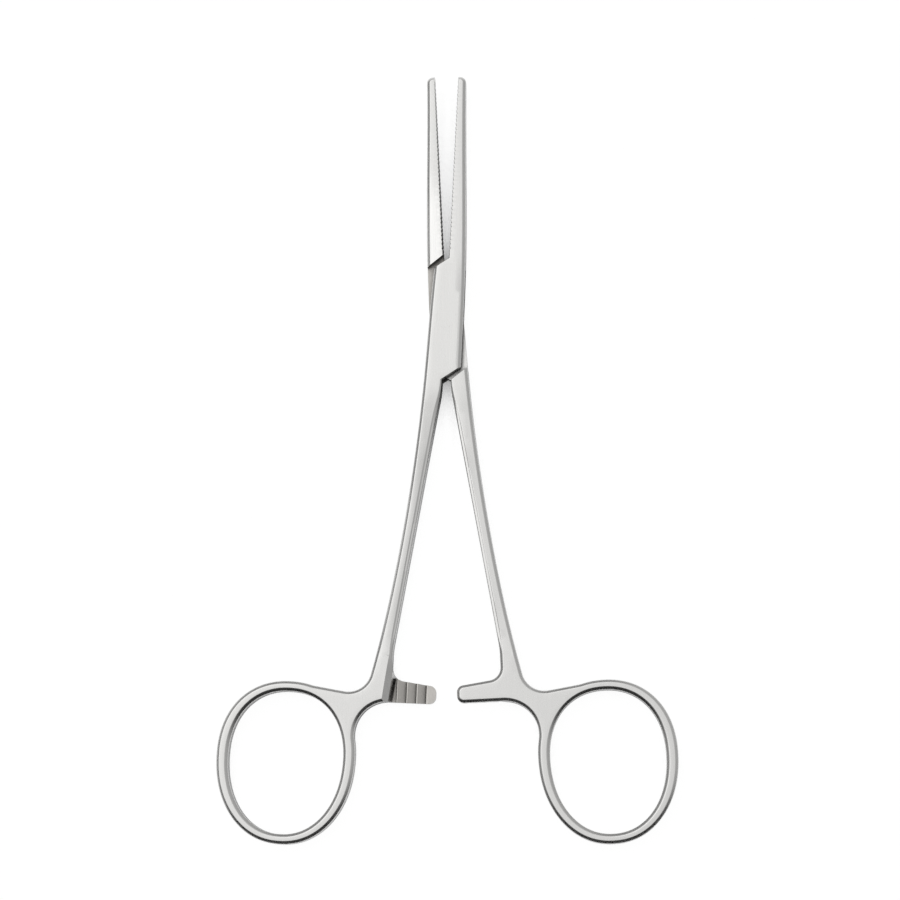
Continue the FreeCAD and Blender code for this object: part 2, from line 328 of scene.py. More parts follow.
def ring_points(ring, width, length_, count):
    """A finger ring's oval, clockwise from its right side."""
    turn = np.linspace(0.0, -2.0 * math.pi, count, endpoint=False)
    c, s = np.cos(turn), np.sin(turn)
    power = 2.0 / ring.fullness
    y = np.copysign(np.abs(s) ** power, s)
    x = np.copysign(np.abs(c) ** power, c) * (1.0 + ring.egg * y) * width / 2.0
    y = y * length_ / 2.0
    lean = -ring.lean
    return np.stack([x * math.cos(lean) - y * math.sin(lean) - ring.offset,
                     x * math.sin(lean) + y * math.cos(lean) - ring.reach], axis=1)


def evenly(points, step, closed=True):
    """The same row of points with even steps."""
    loop = np.vstack([points, points[:1]]) if closed else points
    place = np.concatenate([[0.0], np.cumsum(np.linalg.norm(np.diff(loop, axis=0), axis=1))])
    count = int(place[-1] / step)
    at = np.linspace(0.0, place[-1], count, endpoint=not closed)
    return np.stack([np.interp(at, place, loop[:, axis]) for axis in range(2)], axis=1)


def on_shoulder(lock, x, side):
    """A point of a cheek's upper left shoulder, side 1, or its lower right one, side -1."""
    slope = lock.shoulder_slope
    return np.array([x, side * lock.shoulder_reach / math.cos(slope) + x * math.tan(slope)])


def shank_outer(foot, shank, width, reach):
    """A point of the shank's outer edge, a width away from its inner edge."""
    inner = np.array([-shank.gap / 2.0, -shank.knee_reach])
    lean = (foot[0] - inner[0]) / (inner[1] - foot[1])
    return [inner[0] + lean * max(0.0, inner[1] + reach) - width, -reach]


def half_runs(sizes):
    """The outline as runs from corner to corner, each with the radius of the corner after it."""
    lock, jaw, shank, ring, arm = sizes.lock, sizes.jaw, sizes.shank, sizes.ring, sizes.ratchet
    foot = sizes.foot
    arm_top = arm.arm_rise - ring.reach + arm.arm_height / 2.0
    arm_low = arm.arm_rise - ring.reach - arm.arm_height / 2.0
    face_x = jaw.gap / 2.0
    jaw_tip = [jaw.tip_width, jaw.reach]
    low_shoulder = on_shoulder(lock, lock.half_width, -1)
    crotch = on_shoulder(lock, -shank.gap / 2.0, -1)
    knee = [-shank.gap / 2.0, -shank.knee_reach]
    arm_root = [foot[0], arm_top]
    upper_tip = [arm.arm_overlap, arm_top - arm.arm_taper]
    lower_tip = [arm.arm_overlap, arm_low]
    web = np.array([ring.web_inset - ring.offset, ring.web_rise - ring.reach])
    outer_width = ring.opening_width + 2.0 * ring.wall
    outer_length = ring.opening_length + 2.0 * ring.end_wall
    oval = ring_points(ring, outer_width, outer_length, OVAL_POINTS)
    inward = straight(lower_tip, [-ring.offset, arm_low])
    outward = straight([-ring.offset, outer_length / 2.0 - ring.reach], web)
    loop = np.vstack([oval, oval[:1]])
    inner_joint = min(crossings(inward, loop), key=lambda c: c[1])
    outer_joint = max(crossings(outward, loop), key=lambda c: c[1])
    start, end = int(inner_joint[2]) + 1, int(outer_joint[2])
    if end < start:
        end += len(oval)
    bow = np.take(oval, range(start, end + 1), axis=0, mode="wrap")
    bow = evenly(np.vstack([inner_joint[0], bow, outer_joint[0]]), CURVE_STEP, closed=False)
    upper_left = on_shoulder(lock, -lock.top_half_width, 1)
    notch = on_shoulder(lock, face_x, 1)
    return [
        ("tip", straight([face_x, jaw.reach], jaw_tip), jaw.tip_radius),
        ("right", smooth([jaw_tip, [jaw.middle_width, jaw.middle_reach],
                          [jaw.root_width, jaw.root_reach], [lock.half_width, 0.0],
                          low_shoulder]), 0.0),
        ("low_shoulder", straight(low_shoulder, crotch), 0.0),
        ("crotch", straight(crotch, knee), shank.knee_radius),
        ("inner", straight(knee, foot), ring.foot_knee_radius),
        ("foot", straight(foot, arm_root), arm.arm_corner_radius),
        ("arm_top", straight(arm_root, upper_tip), arm.arm_tip_radius),
        ("arm_end", straight(upper_tip, lower_tip), arm.arm_tip_radius),
        ("arm_low", straight(lower_tip, inner_joint[0]), ring.web_inner_radius),
        ("bow", bow, ring.web_ring_radius),
        ("web", straight(outer_joint[0], web), ring.web_outer_radius),
        ("outer", smooth([web,
                          shank_outer(foot, shank, shank.foot_width, -foot[1]),
                          shank_outer(foot, shank, shank.waist_width, shank.waist_reach),
                          shank_outer(foot, shank, shank.upper_width, shank.upper_reach),
                          shank_outer(foot, shank, shank.root_width, shank.root_reach),
                          [-lock.half_width, 0.0], upper_left]), 0.0),
        ("high_shoulder", straight(upper_left, notch), 0.0),
        ("jaw_face", straight(notch, [face_x, jaw.reach]), 0.0),
    ]


def ramp(value, low, high):
    """0 below low, 1 above high, smooth between."""
    t = np.clip((np.asarray(value, float) - low) / (high - low), 0.0, 1.0)
    return t * t * (3.0 - 2.0 * t)


def edge_kind(sizes, name, points):
    """The rim radius, the share of ground land and the share of bevel along a run."""
    finish, shank, lock = sizes.finish, sizes.shank, sizes.lock
    y = points[:, 1]
    rim = np.full(len(points), finish.edge_radius)
    land, bevel = np.zeros(len(points)), np.zeros(len(points))
    if name in {"low_shoulder", "high_shoulder"}:
        rim[:] = finish.crisp_edge
    elif name == "jaw_face":
        rim[:] = finish.face_edge
    elif name == "right":
        bevel = 1.0 - ramp(y, 0.3 * lock.flat_reach, 1.3 * lock.flat_reach)
        rim -= (finish.edge_radius - finish.bevel) * bevel
    elif name in {"crotch", "inner", "foot"}:
        grow = ramp(-y, shank.knee_reach - 5.0, shank.land_start + 4.0)
        rim = finish.face_edge + (rim - finish.face_edge) * grow
        land = ramp(-y, shank.land_start, shank.land_full) * (
            1.0 - ramp(-y, -sizes.foot[1] - 3.0, -sizes.foot[1] + 1.0))
    return np.stack([rim, land, bevel], axis=1)


def half_outline(sizes):
    """The outline's points, how their edges are broken, and which are sharp corners."""
    runs = half_runs(sizes)
    rows = [points for _, points, _ in runs]
    arcs = [None] * len(runs)
    for i, (_, _, radius) in enumerate(runs):
        after = (i + 1) % len(runs)
        if radius:
            rows[i], arcs[i], rows[after] = round_off(rows[i], rows[after], radius)
    points, edges, corners = [], [], []
    for i, (name, _, radius) in enumerate(runs):
        where = rows[i] if radius else rows[i][:-1]
        sharp = np.zeros(len(where), bool)
        sharp[0] = not runs[i - 1][2]
        points.append(where)
        edges.append(edge_kind(sizes, name, where))
        corners.append(sharp)
        if radius:
            points.append(arcs[i])
            edges.append(edge_kind(sizes, name, arcs[i]))
            corners.append(np.zeros(len(arcs[i]), bool))
    return tidy_outline(np.vstack(points), np.vstack(edges), np.concatenate(corners))


def tidy_outline(points, edges, corners):
    """Drops points that lie on top of each other."""
    gaps = np.linalg.norm(points - np.roll(points, 1, axis=0), axis=1)
    keep = (gaps > 0.02) | corners
    for i in np.flatnonzero(corners & (gaps <= 0.02)):
        keep[i - 1] = False
    return points[keep], edges[keep], corners[keep]


# Rounded edges and the body of a half

ROW_SHARES = np.array([0.0, 0.015, 0.04, 0.08, 0.2, 0.35, 0.5, 0.62, 0.72, 0.8, 0.88, 0.95, 1.0])


def edge_profile(shares, slopes):
    """How far down each row of an edge is, from its slope in degrees at shares of its width."""
    steep = np.tan(np.radians(np.interp(ROW_SHARES, shares, slopes)))
    falls = np.diff(ROW_SHARES) * (steep[1:] + steep[:-1]) / 2.0
    return np.append(np.cumsum(falls[::-1])[::-1], 0.0)


WORN_EDGE = edge_profile([0.0, 0.08, 0.68, 1.0], [82.0, 42.0, 36.0, 0.0])
BEVELLED_EDGE = edge_profile([0.0, 0.05, 0.96, 1.0], [80.0, 37.0, 35.0, 0.0])
LAND_ROWS = np.array([(0.0, 0.42), (0.02, 0.345), (0.04, 0.305), (0.08, 0.25), (0.12, 0.208),
                      (0.16, 0.176), (0.19, 0.163), (0.34, 0.14), (0.50, 0.116), (0.54, 0.09),
                      (0.61, 0.034), (0.66, 0.008), (0.76, 0.0)])


def rim_rows(rim, land, bevel):
    """How far in from the outline and how far down each row of an edge lies."""
    rim, land, bevel = rim[..., None], land[..., None], bevel[..., None]
    drop = rim * (WORN_EDGE * (1.0 - bevel) + BEVELLED_EDGE * bevel)
    return (rim * ROW_SHARES * (1.0 - land) + LAND_ROWS[:, 0] * land,
            drop * (1.0 - land) + LAND_ROWS[:, 1] * land)


def rim_points(points, edges, corners):
    """Rows of points over the edge along an outline, and how far down each of them is."""
    insets, drops = rim_rows(*edges.T)
    right = to_the_right(directions(points, closed=True))
    offsets = insets[..., None] * right[:, None, :]
    count = len(points)
    keep = np.ones(count, bool)
    for i in np.flatnonzero(corners):
        before, after = points[i] - points[i - 1], points[(i + 1) % count] - points[i]
        before, after = before / np.linalg.norm(before), after / np.linalg.norm(after)
        in_before, drop_before = rim_rows(*edges[i - 2])
        in_after, drop_after = rim_rows(*edges[(i + 2) % count])
        sides = np.stack([to_the_right(before), to_the_right(after)])
        offsets[i] = np.linalg.solve(sides, np.stack([in_before, in_after])).T
        drops[i] = drop_before if edges[i - 2, 0] > edges[(i + 2) % count, 0] else drop_after
        reach_back = max(0.0, float((-offsets[i] @ before).max())) + 0.12
        reach_on = max(0.0, float((offsets[i] @ after).max())) + 0.12
        for step in range(1, 30):
            for other, reach in (((i - step) % count, reach_back), ((i + step) % count, reach_on)):
                if np.linalg.norm(points[other] - points[i]) < reach and not corners[other]:
                    keep[other] = False
    return (points[:, None, :] + offsets)[keep], drops[keep]


def top_height(sizes, y):
    """Height of the top face along a half."""
    lock, jaw, shank, ring = sizes.lock, sizes.jaw, sizes.shank, sizes.ring
    y = np.asarray(y, float)
    run = jaw.reach - lock.flat_reach
    drop = (lock.thickness - jaw.tip_thickness) / 2.0
    radius = (run ** 2 + drop ** 2) / (2.0 * drop)
    past = np.maximum(0.0, y - lock.flat_reach)
    back = np.clip((-y - lock.flat_reach) / (shank.level_reach - lock.flat_reach), 0.0, 1.0)
    fall = (lock.thickness - ring.thickness) / 2.0 * (3.0 * back ** 2 - 2.0 * back ** 3)
    return lock.thickness - (radius - np.sqrt(radius ** 2 - past ** 2)) - fall


def inside(points, loop):
    """Which points lie inside a closed row of points."""
    x, y = points[:, 0][:, None], points[:, 1][:, None]
    x0, y0 = loop[:, 0][None], loop[:, 1][None]
    x1, y1 = np.roll(loop[:, 0], -1)[None], np.roll(loop[:, 1], -1)[None]
    spans = (y0 > y) != (y1 > y)
    rise = np.where(y1 == y0, 1e-12, y1 - y0)
    return (spans & (x < x0 + (y - y0) * (x1 - x0) / rise)).sum(axis=1) % 2 == 1


def fill(outer, hole, spacing):
    """Triangles between an outline and a hole, with points of their own in the middle."""
    low, high = outer.min(axis=0), outer.max(axis=0)
    grid = np.stack(np.meshgrid(np.arange(low[0], high[0], spacing),
                                np.arange(low[1], high[1], spacing)), axis=-1).reshape(-1, 2)
    grid = grid[inside(grid, outer) & ~inside(grid, hole)]
    rims = np.vstack([outer, hole])
    clear = np.array([np.min(np.hypot(*(rims - spot).T)) for spot in grid]) > 0.6 * spacing
    points = np.vstack([rims, grid[clear]])
    edges = [(i, (i + 1) % len(outer)) for i in range(len(outer))]
    edges += [(len(outer) + i, len(outer) + (i + 1) % len(hole)) for i in range(len(hole))]
    made = delaunay_2d_cdt([Vector(p) for p in points.tolist()], edges, [], 0, 1e-5)
    places, faces, origins = made[0], made[2], made[3]
    source = [origin[0] if origin else -1 for origin in origins]
    if min(source) < 0 or len(places) != len(points):
        raise RuntimeError("the outline of a half crosses itself")
    faces = np.array([[source[i] for i in face] for face in faces])
    middles = points[faces].mean(axis=1)
    keep = inside(middles, outer) & ~inside(middles, hole)
    return points, faces[keep]


def face_relief(sizes, x, y, tongue):
    """What hand grinding adds to a half's flat top or takes off it."""
    shank, lock = sizes.shank, sizes.lock
    foot_reach = -sizes.foot[1]
    inner = np.array([-shank.gap / 2.0, sizes.foot[0]])
    edge = np.interp(-y, [shank.knee_reach, foot_reach], inner)
    width = np.interp(-y, [shank.root_reach, shank.upper_reach, shank.waist_reach, foot_reach],
                      [shank.root_width, shank.upper_width, shank.waist_width,
                       shank.foot_width])
    middle = 0.5 * (width + 0.4)
    across = np.clip(edge - x - middle, -0.8, 0.8)
    grow = ramp(-y, shank.knee_reach, shank.upper_reach) * (
        1.0 - ramp(-y, foot_reach - 2.0, foot_reach + 6.0))
    crown = 0.07 * across ** 2 * grow
    behind_lock = ramp(-y, 12.0, 17.0) * (1.0 - ramp(-y, 25.0, 37.0))
    if not tongue:
        return 0.08 * (across - 0.8) * behind_lock - crown
    root = ramp(y, 0.8 * lock.flat_reach, lock.flat_reach) * (
        1.0 - ramp(y, 1.9 * lock.flat_reach, 2.9 * lock.flat_reach))
    tilt = 0.03 * (across + 0.8) * behind_lock
    return crown - 0.045 * grow - tilt - 0.09 * np.clip(x - 0.2, 0.0, 3.0) * root


def steel_body(name, sizes, tongue):
    """One half before it is cut, drawn as the right jaw and left shank, jaws closed."""
    lock, ring = sizes.lock, sizes.ring
    outline = half_outline(sizes)
    outer_rows, outer_drops = rim_points(*outline)
    opening = ring_points(ring, ring.opening_width, ring.opening_length, OVAL_POINTS)
    opening = evenly(opening, CURVE_STEP)[::-1]
    hole_rows, hole_drops = rim_points(opening, edge_kind(sizes, "opening", opening),
                                       np.zeros(len(opening), bool))
    flat, triangles = fill(outer_rows[:, -1], hole_rows[:, -1], FACE_STEP)
    vertices, faces = [], []

    def rows_of(rows, drops):
        count = len(rows)
        start = sum(len(block) for block in vertices)
        height = top_height(sizes, rows[..., 1]) - drops
        height += face_relief(sizes, rows[..., 0], rows[..., 1], tongue)
        for level in (height, lock.thickness - height):
            block = np.concatenate([rows, level[..., None]], axis=-1)
            vertices.append(block.transpose(1, 0, 2).reshape(-1, 3))
        i = np.arange(count)
        after = (i + 1) % count
        low = start + len(ROW_SHARES) * count
        for row in range(len(ROW_SHARES) - 1):
            a, b = start + row * count, start + (row + 1) * count
            faces.extend(np.stack([a + i, b + i, b + after, a + after], axis=1).tolist())
            a, b = low + row * count, low + (row + 1) * count
            faces.extend(np.stack([a + after, b + after, b + i, a + i], axis=1).tolist())
        faces.extend(np.stack([start + i, start + after, low + after, low + i], axis=1).tolist())
        return start + (len(ROW_SHARES) - 1) * count + i, low + (len(ROW_SHARES) - 1) * count + i

    outer_top, outer_low = rows_of(outer_rows, outer_drops)
    hole_top, hole_low = rows_of(hole_rows, hole_drops)
    rims = len(outer_rows) + len(hole_rows)
    middle = flat[rims:]
    height = top_height(sizes, middle[:, 1])
    height += face_relief(sizes, middle[:, 0], middle[:, 1], tongue)
    for rim, level, flip in ((np.concatenate([outer_top, hole_top]), height, False),
                             (np.concatenate([outer_low, hole_low]), lock.thickness - height,
                              True)):
        start = sum(len(block) for block in vertices)
        vertices.append(np.column_stack([middle, level]))
        index = np.concatenate([rim, start + np.arange(len(middle))])
        made = index[triangles]
        faces.extend((made[:, ::-1] if flip else made).tolist())
    mesh = bpy.data.meshes.new(name)
    mesh.from_pydata(np.vstack(vertices).tolist(), [], faces)
    mesh.update()
    piece = bpy.data.objects.new(name, mesh)
    bpy.context.scene.collection.objects.link(piece)
    return piece


# Cutting

def prism(name, outlines, low, high, material=None):
    """A cutter: closed outlines, counter-clockwise, standing upright between two heights."""
    vertices, faces = [], []
    for outline in outlines:
        start, count = len(vertices), len(outline)
        vertices += [(x, y, low) for x, y in outline] + [(x, y, high) for x, y in outline]
        faces.append([start + i for i in reversed(range(count))])
        faces.append([start + count + i for i in range(count)])
        for i in range(count):
            after = (i + 1) % count
            faces.append([start + i, start + after, start + count + after, start + count + i])
    return cutter(name, vertices, faces, material)


def cutter(name, vertices, faces, material=None):
    """A cutting tool, with the material that it leaves behind."""
    mesh = bpy.data.meshes.new(name)
    mesh.from_pydata([tuple(v) for v in vertices], [], faces)
    if material:
        mesh.materials.append(material)
    mesh.update()
    tool = bpy.data.objects.new(name, mesh)
    bpy.context.scene.collection.objects.link(tool)
    return tool


def lathe(name, profile, steps, matrix, material=None):
    """A cutter turned about Z from (radius, height) points, bottom to top, then placed."""
    vertices, faces, rings = [], [], []
    for radius, height in profile:
        if radius < 1e-9:
            rings.append([len(vertices)] * steps)
            vertices.append((0.0, 0.0, height))
        else:
            rings.append(list(range(len(vertices), len(vertices) + steps)))
            vertices += [(radius * math.cos(2.0 * math.pi * i / steps),
                          radius * math.sin(2.0 * math.pi * i / steps), height)
                         for i in range(steps)]
    for low, high in zip(rings, rings[1:]):
        for i in range(steps):
            after = (i + 1) % steps
            face = [low[i], low[after], high[after], high[i]]
            faces.append(list(dict.fromkeys(face)))
    if rings[0][0] != rings[0][1]:
        faces.append(rings[0][::-1])
    if rings[-1][0] != rings[-1][1]:
        faces.append(rings[-1])
    return cutter(name, [matrix @ Vector(v) for v in vertices], faces, material)


def carve(piece, tool, operation="DIFFERENCE"):
    """Cuts a piece with a tool, which is used up."""
    change = piece.modifiers.new("carve", "BOOLEAN")
    change.operation = operation
    change.solver = "EXACT"
    change.material_mode = "TRANSFER"
    change.object = tool
    depsgraph = bpy.context.evaluated_depsgraph_get()
    made = bpy.data.meshes.new_from_object(piece.evaluated_get(depsgraph))
    piece.modifiers.clear()
    old = piece.data
    piece.data = made
    bpy.data.meshes.remove(old)
    bpy.data.meshes.remove(tool.data)
    if not len(made.polygons):
        raise RuntimeError(piece.name + " was cut away")


def serration_cutter(sizes):
    """All the cross serrations of a jaw face."""
    jaw, lock = sizes.jaw, sizes.lock
    count = int((jaw.reach - jaw.groove_tip_margin - jaw.groove_start) / jaw.groove_pitch)
    grooves = []
    for number in range(count):
        start = jaw.groove_start + number * jaw.groove_pitch
        grooves.append([(-0.3, start), (jaw.gap / 2.0, start),
                        (jaw.gap / 2.0 + jaw.groove_depth, start + jaw.groove_width / 2.0),
                        (jaw.gap / 2.0, start + jaw.groove_width), (-0.3, start + jaw.groove_width)])
    return prism("serrations", grooves, -CUT_PAST, lock.thickness + CUT_PAST)


def ratchet_cutters(sizes, tooth_steel, wall_steel, flip):
    """What is ground away above the teeth of an arm, and the wall down to them."""
    lock, ring, arm = sizes.lock, sizes.ring, sizes.ratchet
    crest = (lock.thickness - arm.crest_gap) / 2.0
    valley = crest - arm.tooth_height
    arm_y = arm.arm_rise - ring.reach
    low_y, high_y = arm_y - arm.arm_height / 2.0 - CUT_PAST, sizes.foot[1]
    top = lock.thickness + CUT_PAST
    long_slope = arm.tooth_height / (arm.tooth_pitch - arm.tooth_back)
    profile = [(arm.arm_overlap + CUT_PAST, crest)]
    for number in range(arm.tooth_count):
        x = arm.arm_overlap - arm.tooth_land - number * arm.tooth_pitch
        shoulder = crest - (arm.crest_break * long_slope if number else 0.0)
        profile += [(x + arm.crest_break, shoulder), (x, shoulder - 0.3 * arm.crest_break),
                    (x - arm.tooth_back, valley)]
    last_x = profile[-1][0]
    profile += [(last_x, top), (arm.arm_overlap + CUT_PAST, top)]
    teeth = loft("teeth", [[(x, y, z) for x, z in profile] for y in (low_y, high_y)],
                 tooth_steel)
    foot_x = last_x - 0.4
    steps = np.linspace(0.0, 1.0, SCOOP_SECTIONS)
    sections = []
    for step in steps:
        y = low_y - 2.0 + step * (-arm.scoop_end - low_y + 2.0)
        fade = 1.0 - float(ramp(y, arm_y + 2.0, -arm.scoop_end))
        slope = math.tan(arm.scoop_slope) * fade + 0.02
        start = foot_x - arm.scoop_width + arm.scoop_lean * (y - arm_y)
        height = float(top_height(sizes, y))
        foot_z = height - slope * arm.scoop_width
        above = (top - height) / slope
        foot = start + arm.scoop_width
        right = max(last_x, foot + 0.3)
        sections.append([
            (right, y, top), (right, y, foot_z), (foot, y, foot_z),
            (start + 0.62 * arm.scoop_width, y, height - 0.38 * (height - foot_z)),
            (start, y, height), (start - above, y, top)])
    scoop = loft("scoop", sections, wall_steel)
    scoop.data.materials.append(tooth_steel)
    for face in scoop.data.polygons:
        if face.normal.z < -0.98 and face.center.y < arm_y + arm.arm_height:
            face.material_index = 1
    if flip:
        for tool in (teeth, scoop):
            tool.data.transform(Matrix.Translation((0.0, 0.0, lock.thickness))
                                @ Matrix.Scale(-1.0, 4, (0.0, 0.0, 1.0)))
            tool.data.flip_normals()
    return teeth, scoop


def loft(name, sections, material=None):
    """A cutter through sections that follow each other along Y, clockwise seen from -Y."""
    count = len(sections[0])
    vertices = [corner for section in sections for corner in section]
    last = len(vertices) - count
    faces = [list(reversed(range(count))), [last + i for i in range(count)]]
    for start in range(0, last, count):
        for i in range(count):
            after = (i + 1) % count
            faces.append([start + i, start + after, start + count + after, start + count + i])
    return cutter(name, vertices, faces, material)


def lock_band(name, sizes, reach, low, high, material):
    """A cutter between two lines across the lock, parallel to the other half's shoulders."""
    turn = Matrix.Rotation(-sizes.lock.shoulder_slope, 2)
    corners = [turn @ Vector(c) for c in ((-BAND_REACH, -reach), (BAND_REACH, -reach),
                                          (BAND_REACH, reach), (-BAND_REACH, reach))]
    return prism(name, [corners], low, high, material)


def mill_jaw_face(piece, sizes):
    """Gives the gripping face the milled steel, which is the piece's second material."""
    for face in piece.data.polygons:
        if face.normal.x < -0.9 and abs(face.center.x - sizes.jaw.gap / 2.0) < 0.05:
            face.material_index = 1


def finish_piece(piece, sizes, mirrored):
    """Puts a carved half where it lies, and shades it."""
    mesh = piece.data
    turn = sizes.lock.rest_opening / 2.0
    if mirrored:
        mesh.transform(Matrix.Scale(-1.0, 4, (1.0, 0.0, 0.0)))
        mesh.flip_normals()
    mesh.transform(Matrix.Rotation(turn if mirrored else -turn, 4, "Z"))
    mesh.transform(Matrix.Scale(0.001, 4))
    mesh.polygons.foreach_set("use_smooth", [True] * len(mesh.polygons))
    mesh.set_sharp_from_angle(angle=math.radians(SHARP_ANGLE))
    mesh.update()


def gather_sizes(context):
    """All sizes in millimetres, and the corner at the foot of the shank."""
    scene = context.scene
    sizes = SimpleNamespace(
        lock=millimetres(scene.forceps_lock), jaw=millimetres(scene.forceps_jaws),
        shank=millimetres(scene.forceps_shanks), ring=millimetres(scene.forceps_rings),
        ratchet=millimetres(scene.forceps_ratchet), finish=millimetres(scene.forceps_finish))
    ring = sizes.ring
    sizes.foot = np.array([ring.foot_inset - ring.offset, ring.foot_rise - ring.reach])
    return sizes


# Materials

def node(tree, kind, inputs=None, **settings):
    """Adds a shader node, sets it up, and links or sets its inputs."""
    made = tree.nodes.new(kind)
    for key, value in settings.items():
        setattr(made, key, value)
    for key, value in (inputs or {}).items():
        if isinstance(value, bpy.types.NodeSocket):
            tree.links.new(value, made.inputs[key])
        else:
            made.inputs[key].default_value = value
    return made


def new_material(name):
    """A material without nodes, and its node tree."""
    material = bpy.data.materials.new(name)
    material.use_nodes = True
    tree = material.node_tree
    tree.nodes.clear()
    return material, tree


def blend(tree, factor, first, second):
    """Mixes two colours."""
    return node(tree, "ShaderNodeMix", {0: factor, 6: first, 7: second},
                data_type="RGBA").outputs[2]


def stretched(tree, scale, size, detail):
    """Noise along the piece: scale squeezes the space, size is that of the grain."""
    place = node(tree, "ShaderNodeTexCoord").outputs["Object"]
    space = node(tree, "ShaderNodeMapping", {"Vector": place, "Scale": scale})
    return node(tree, "ShaderNodeTexNoise", {
        "Vector": space.outputs[0], "Scale": size, "Detail": detail}).outputs["Fac"]


def spread(tree, value, low, high, least, most, **settings):
    """Maps a value from one span to another, clamped."""
    return node(tree, "ShaderNodeMapRange", {
        "Value": value, "From Min": low, "From Max": high, "To Min": least, "To Max": most},
        **settings).outputs[0]


def openness(tree, reach, normal=None):
    """How much of the space around a point is open, from 0 deep in a hollow to 1."""
    inputs = {"Distance": reach}
    if normal:
        inputs["Normal"] = normal
    return node(tree, "ShaderNodeAmbientOcclusion", inputs, samples=6).outputs["AO"]


def steel_shader(tree, tone, roughness, bump):
    """Makes bare metal the material's surface."""
    shader = node(tree, "ShaderNodeBsdfPrincipled", {
        "Base Color": tone, "Roughness": roughness, "Normal": bump, "Metallic": 1.0})
    node(tree, "ShaderNodeOutputMaterial", {"Surface": shader.outputs[0]})


def satin_steel(name, tint, roughness):
    """Steel finished to a satin with a fine belt: soft streaks along the piece and a faint mottle,
    with painted shade in its hollows.
    """
    material, tree = new_material(name)
    streaks = stretched(tree, (1.0, 0.035, 1.0), 5200.0, 4.0)
    mottle = stretched(tree, (1.0, 0.12, 1.0), 1100.0, 3.0)
    swell = stretched(tree, (1.0, 0.12, 1.0), 260.0, 1.0)
    tone = blend(tree, mottle, [0.965 * value for value in tint] + [1.0], [*tint, 1.0])
    # Painted shade: the base colour darkens where the AO finds the steel closed in.
    hollow_shade = spread(tree, openness(tree, 0.0025), 0.3, 0.57, 0.05, 1.0)
    tone = node(tree, "ShaderNodeVectorMath", {0: tone, "Scale": hollow_shade},
                operation="SCALE").outputs[0]
    fine = node(tree, "ShaderNodeBump", {
        "Height": streaks, "Strength": 0.05, "Distance": 0.00002})
    wavy = node(tree, "ShaderNodeBump", {
        "Height": swell, "Strength": 0.4, "Distance": 0.00004, "Normal": fine.outputs[0]})
    steel_shader(tree, tone, spread(tree, streaks, 0.3, 0.7, roughness - 0.03,
                                    roughness + 0.04), wavy.outputs[0])
    return material


def milled_steel(name, tint, roughness, hollow_shading=(0.0018, 0.15, 0.85, 0.08), lit_band=None):
    """Steel as the cutter left it, with tool marks and painted shade in its hollows; if a Y is
    given, painted light below it, with painted shade near the walls there.
    """
    material, tree = new_material(name)
    marks = stretched(tree, (1.0, 0.15, 1.0), 9000.0, 3.0)
    patches = stretched(tree, (1.0, 1.0, 1.0), 1300.0, 2.0)
    tone = blend(tree, patches, [0.88 * value for value in tint] + [1.0], [*tint, 1.0])
    # Painted shade: the base colour darkens where the AO finds the steel closed in.
    reach, shut, clear, least = hollow_shading
    hollow_shade = spread(tree, openness(tree, reach), shut, clear, least, 1.0)
    tone = node(tree, "ShaderNodeVectorMath", {0: tone, "Scale": hollow_shade},
                operation="SCALE").outputs[0]
    # Painted light and shade: the tongue keeps the darker milled tone up by the wedge that lies in
    # shade, and below the given Y turns bright for its lit strip, with painted shade where the AO
    # finds it close to a wall.
    if lit_band:
        place = node(tree, "ShaderNodeTexCoord").outputs["Object"]
        along = node(tree, "ShaderNodeSeparateXYZ", {0: place}).outputs["Y"]
        lit_share = spread(tree, along, lit_band[0], lit_band[1], 1.0, 0.0)
        wall_shade = spread(tree, openness(tree, 0.00078), 0.56, 0.93, 0.05, 1.0)
        bright = node(tree, "ShaderNodeVectorMath", {0: (0.82, 0.815, 0.805), "Scale": wall_shade},
                      operation="SCALE").outputs[0]
        tone = blend(tree, lit_share, tone, bright)
    bump = node(tree, "ShaderNodeBump", {
        "Height": marks, "Strength": 0.3, "Distance": 0.00002})
    steel_shader(tree, tone, spread(tree, marks, 0.3, 0.7, roughness - 0.05,
                                    roughness + 0.06), bump.outputs[0])
    return material


def ratchet_steel(name, finish):
    """The milled steel of the teeth and the scoop, with painted shade only right in the corners."""
    tint = [1.12 * value for value in finish.milled_steel]
    return milled_steel(name, tint, finish.milled_roughness + 0.06,
                        hollow_shading=(0.0011, 0.42, 0.95, 0.12))


def floor_material(tint):
    """A pale matt floor that shows the camera and the steel a white table with soft shadows."""
    material, tree = new_material("pale_floor")
    path = node(tree, "ShaderNodeLightPath").outputs
    mirrored = node(tree, "ShaderNodeMath", {
        0: path["Is Glossy Ray"], 1: path["Is Transmission Ray"]}, operation="MAXIMUM").outputs[0]
    seen = node(tree, "ShaderNodeMath", {0: path["Is Camera Ray"], 1: mirrored},
                operation="MAXIMUM").outputs[0]
    grain = stretched(tree, (1.0, 1.0, 1.0), 400.0, 3.0)
    tone = blend(tree, grain, [*tint, 1.0], [min(1.0, 1.02 * value) for value in tint] + [1.0])
    matt = node(tree, "ShaderNodeBsdfDiffuse", {"Color": tone})
    from_jaws = openness(tree, 0.0042, (0.0, 0.5, 0.86))
    lit = spread(tree, from_jaws, 0.11, 0.25, 0.05, 0.97)
    around = spread(tree, openness(tree, 0.006, (0.0, 0.0, 1.0)), 0.36, 0.9, 0.03, 0.95)
    level = node(tree, "ShaderNodeMix", {0: mirrored, 2: lit, 3: around}).outputs[0]
    glow = node(tree, "ShaderNodeEmission", {"Color": (1.0, 1.0, 1.0, 1.0), "Strength": level})
    shaded = node(tree, "ShaderNodeBsdfDiffuse", {"Color": (0.08, 0.08, 0.08, 1.0)})
    white = node(tree, "ShaderNodeAddShader", {0: shaded.outputs[0], 1: glow.outputs[0]})
    mixed = node(tree, "ShaderNodeMixShader", {
        0: seen, 1: matt.outputs[0], 2: white.outputs[0]})
    node(tree, "ShaderNodeOutputMaterial", {"Surface": mixed.outputs[0]})
    return material


# Operators

